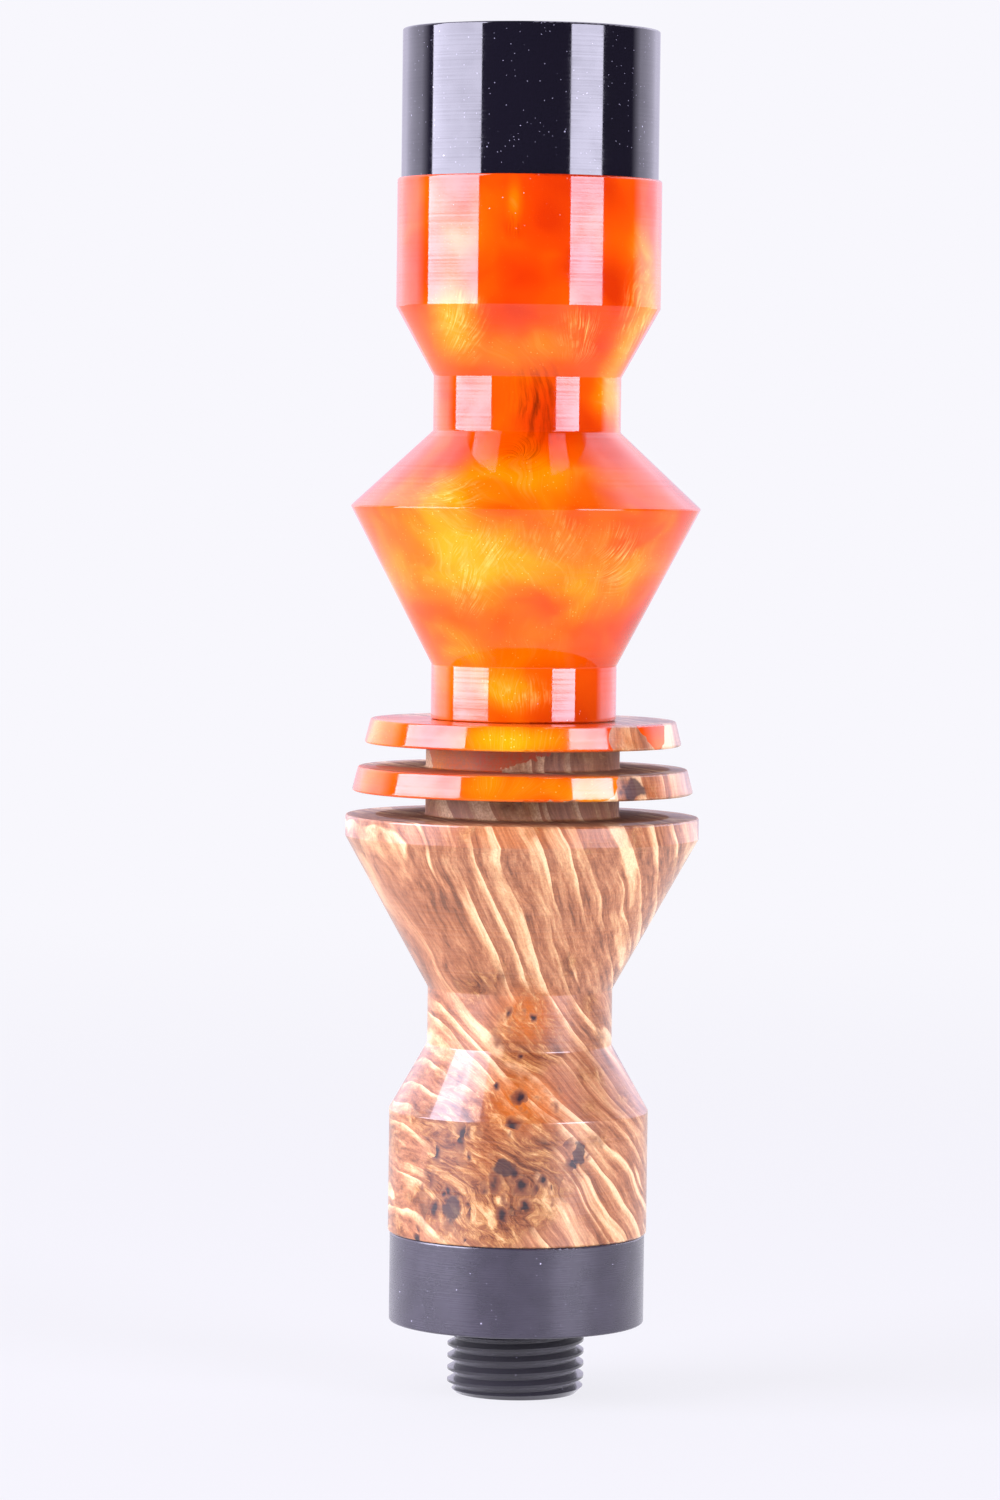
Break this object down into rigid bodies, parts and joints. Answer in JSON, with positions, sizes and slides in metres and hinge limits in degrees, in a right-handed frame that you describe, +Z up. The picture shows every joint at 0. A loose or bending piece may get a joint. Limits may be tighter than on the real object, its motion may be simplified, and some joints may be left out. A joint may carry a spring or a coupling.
{
  "type": "duck call",
  "caption": "Turned duck call: resin barrel with black mouthpiece ring on a burl insert with fins, reeds and tone board inside, and a threaded stub at the exhaust end.",
  "frame": {"origin": "centre of the threaded stub's end face, on the axis of the air bore", "axes": "+Z up the bore towards the mouthpiece, -Y the side that the reeds face"},
  "size_m": [0.0361, 0.036, 0.139],
  "materials": {
    "polished_black_acrylic": "polished",
    "orange_resin": "polished, pearlescent",
    "burl": "sealed and polished",
    "satin_black_acrylic": "satin",
    "board_acrylic": "moulded gloss",
    "o_ring_rubber": "matt",
    "reed_film": "milky film",
    "cork": "cut cork"
  },
  "bodies": {
    "insert": {"insert_body": "burl", "end_collar": "satin_black_acrylic", "tone_board": "board_acrylic"},
    "o_rings": {"lower_o_ring": "o_ring_rubber", "upper_o_ring": "o_ring_rubber"},
    "barrel": {"barrel": "orange_resin", "mouthpiece": "polished_black_acrylic"},
    "long_reed": {"long_reed": "reed_film"},
    "short_reed": {"short_reed": "reed_film"},
    "wedge": {"wedge": "cork"}
  },
  "joints": [
    {"name": "barrel_twist", "type": "hinge", "parent": "insert", "child": "o_rings", "pos_m": [0, 0, 0.069], "axis": [0, 0, 1], "continuous": true},
    {"name": "barrel_pull", "type": "slide", "parent": "o_rings", "child": "barrel", "axis": [0, 0, 1], "range_m": [0, 0.06]},
    {"name": "long_reed_flex", "type": "hinge", "parent": "insert", "child": "long_reed", "pos_m": [0, -0.00003, 0.0885], "axis": [-1, 0, 0], "range_deg": [0, 1.8], "stiffness_Nm_per_rad": 0.0108},
    {"name": "short_reed_flex", "type": "hinge", "parent": "insert", "child": "short_reed", "pos_m": [0, -0.00003, 0.0885], "axis": [-1, 0, 0], "range_deg": [0, 1.8], "stiffness_Nm_per_rad": 0.0047},
    {"name": "wedge_slide", "type": "slide", "parent": "insert", "child": "wedge", "axis": [0, 0, 1], "range_m": [0, 0.011]}
  ],
  "couplings": [
    {"joint": "short_reed_flex", "follows": "long_reed_flex", "ratio": 1}
  ]
}
